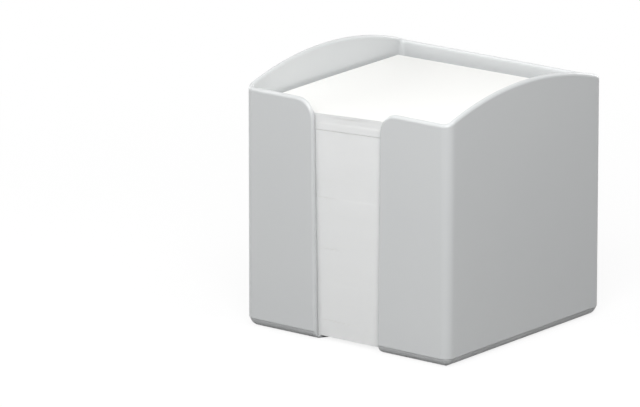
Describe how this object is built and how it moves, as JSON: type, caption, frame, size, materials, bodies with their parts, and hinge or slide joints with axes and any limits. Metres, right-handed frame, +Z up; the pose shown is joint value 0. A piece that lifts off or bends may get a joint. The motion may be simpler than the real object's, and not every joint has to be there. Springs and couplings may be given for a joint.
{
  "type": "memo cube",
  "caption": "Open square desk holder with arched side walls and a front finger slot, filled with a stack of loose square note sheets.",
  "frame": {"origin": "centre of the holder's outline on the surface that it stands on", "axes": "+Z up, -Y out of the front wall with the finger slot, +X to the right seen from the front"},
  "size_m": [0.1, 0.1, 0.105],
  "materials": {
    "holder_plastic": "satin",
    "sheet_paper": "matte"
  },
  "bodies": {
    "holder": {"holder": "holder_plastic"},
    "lower_sheets": {"sheet_lift_01": "sheet_paper", "sheet_lift_02": "sheet_paper", "sheet_lift_03": "sheet_paper", "sheet_lift_04": "sheet_paper", "sheet_lift_05": "sheet_paper", "sheet_lift_06": "sheet_paper", "sheet_lift_07": "sheet_paper", "sheet_lift_08": "sheet_paper", "sheet_lift_09": "sheet_paper", "sheet_lift_10": "sheet_paper", "sheet_lift_11": "sheet_paper"},
    "middle_sheets": {"sheet_lift_12": "sheet_paper", "sheet_lift_13": "sheet_paper", "sheet_lift_14": "sheet_paper", "sheet_lift_15": "sheet_paper", "sheet_lift_16": "sheet_paper", "sheet_lift_17": "sheet_paper"},
    "upper_sheets": {"sheet_lift_18": "sheet_paper", "sheet_lift_19": "sheet_paper"},
    "few_sheets": {"sheet_lift_20": "sheet_paper"},
    "top_sheet": {"top_sheet": "sheet_paper"}
  },
  "joints": [
    {"name": "stack_lift_out", "type": "slide", "parent": "holder", "child": "lower_sheets", "axis": [0, 0, 1], "range_m": [0, 0.106]},
    {"name": "middle_lift_off", "type": "slide", "parent": "lower_sheets", "child": "middle_sheets", "axis": [0, 0, 1], "range_m": [0, 0.056]},
    {"name": "upper_lift_off", "type": "slide", "parent": "middle_sheets", "child": "upper_sheets", "axis": [0, 0, 1], "range_m": [0, 0.022]},
    {"name": "few_lift_off", "type": "slide", "parent": "upper_sheets", "child": "few_sheets", "axis": [0, 0, 1], "range_m": [0, 0.017]},
    {"name": "sheet_lift_off", "type": "slide", "parent": "few_sheets", "child": "top_sheet", "axis": [0, 0, 1], "range_m": [0, 0.016]}
  ]
}
